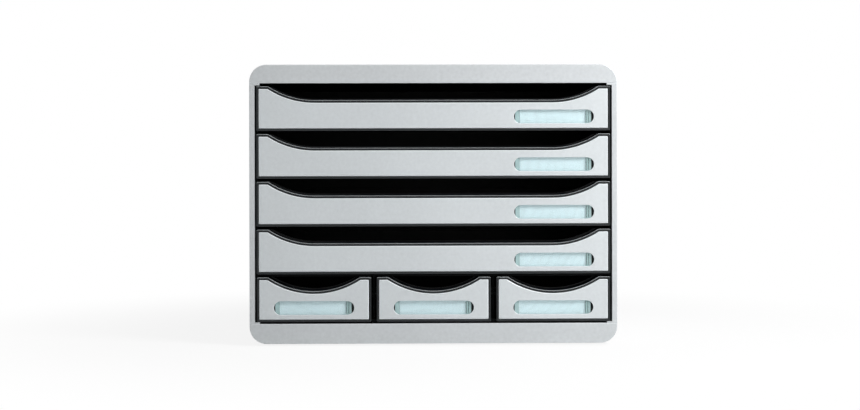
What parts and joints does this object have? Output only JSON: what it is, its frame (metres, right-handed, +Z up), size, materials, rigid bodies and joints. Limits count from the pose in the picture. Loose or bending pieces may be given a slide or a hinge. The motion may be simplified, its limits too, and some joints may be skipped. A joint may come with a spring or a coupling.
{
  "type": "desk-top drawer cabinet",
  "caption": "Desk-top drawer cabinet with wide drawers over a row of small ones, finger scoops and label windows in a rounded silver casing.",
  "frame": {"origin": "on the floor, under the middle of the casing's width and depth", "axes": "+Z up, the drawer fronts face -Y, +X to the right as seen from the front"},
  "size_m": [0.355, 0.27, 0.271],
  "materials": {
    "casing_silver": "fine-grained moulded plastic with a silver finish",
    "face_silver": "satin moulded plastic with a silver finish",
    "tray_black": "fine-grained black moulded plastic",
    "carcass_black": "fine-grained black moulded plastic",
    "label_holder": "clear plastic with a faint blue-green tint",
    "label_card": "plain pale card",
    "rubber_foot": "matte black rubber",
    "screw_steel": "bright zinc-plated steel"
  },
  "bodies": {
    "casing": {"top_cover": "casing_silver", "bottom_cover": "casing_silver", "left_side_panel": "casing_silver", "right_side_panel": "casing_silver", "roof_panel": "carcass_black", "floor_panel": "carcass_black", "left_runner_panel": "carcass_black", "right_runner_panel": "carcass_black", "back_panel": "carcass_black", "drawer_shelf": "carcass_black", "back_screws": "screw_steel", "divider_1": "carcass_black", "divider_2": "carcass_black", "foot_1": "rubber_foot", "foot_2": "rubber_foot", "foot_3": "rubber_foot", "foot_4": "rubber_foot"},
    "wide_drawer_1": {"wide_tray_1": "tray_black", "wide_face_plate_1": "face_silver", "wide_label_holder_1": "label_holder", "wide_label_card_1": "label_card"},
    "wide_drawer_2": {"wide_tray_2": "tray_black", "wide_face_plate_2": "face_silver", "wide_label_holder_2": "label_holder", "wide_label_card_2": "label_card"},
    "wide_drawer_3": {"wide_tray_3": "tray_black", "wide_face_plate_3": "face_silver", "wide_label_holder_3": "label_holder", "wide_label_card_3": "label_card"},
    "wide_drawer_4": {"wide_tray_4": "tray_black", "wide_face_plate_4": "face_silver", "wide_label_holder_4": "label_holder", "wide_label_card_4": "label_card"},
    "small_drawer_1": {"small_tray_1": "tray_black", "small_face_plate_1": "face_silver", "small_label_holder_1": "label_holder", "small_label_card_1": "label_card"},
    "small_drawer_2": {"small_tray_2": "tray_black", "small_face_plate_2": "face_silver", "small_label_holder_2": "label_holder", "small_label_card_2": "label_card"},
    "small_drawer_3": {"small_tray_3": "tray_black", "small_face_plate_3": "face_silver", "small_label_holder_3": "label_holder", "small_label_card_3": "label_card"}
  },
  "joints": [
    {"name": "wide_drawer_1_slide", "type": "slide", "parent": "casing", "child": "wide_drawer_1", "axis": [0, -1, 0], "range_m": [0, 0.2]},
    {"name": "wide_drawer_2_slide", "type": "slide", "parent": "casing", "child": "wide_drawer_2", "axis": [0, -1, 0], "range_m": [0, 0.2]},
    {"name": "wide_drawer_3_slide", "type": "slide", "parent": "casing", "child": "wide_drawer_3", "axis": [0, -1, 0], "range_m": [0, 0.2]},
    {"name": "wide_drawer_4_slide", "type": "slide", "parent": "casing", "child": "wide_drawer_4", "axis": [0, -1, 0], "range_m": [0, 0.2]},
    {"name": "small_drawer_1_slide", "type": "slide", "parent": "casing", "child": "small_drawer_1", "axis": [0, -1, 0], "range_m": [0, 0.2]},
    {"name": "small_drawer_2_slide", "type": "slide", "parent": "casing", "child": "small_drawer_2", "axis": [0, -1, 0], "range_m": [0, 0.2]},
    {"name": "small_drawer_3_slide", "type": "slide", "parent": "casing", "child": "small_drawer_3", "axis": [0, -1, 0], "range_m": [0, 0.2]}
  ]
}
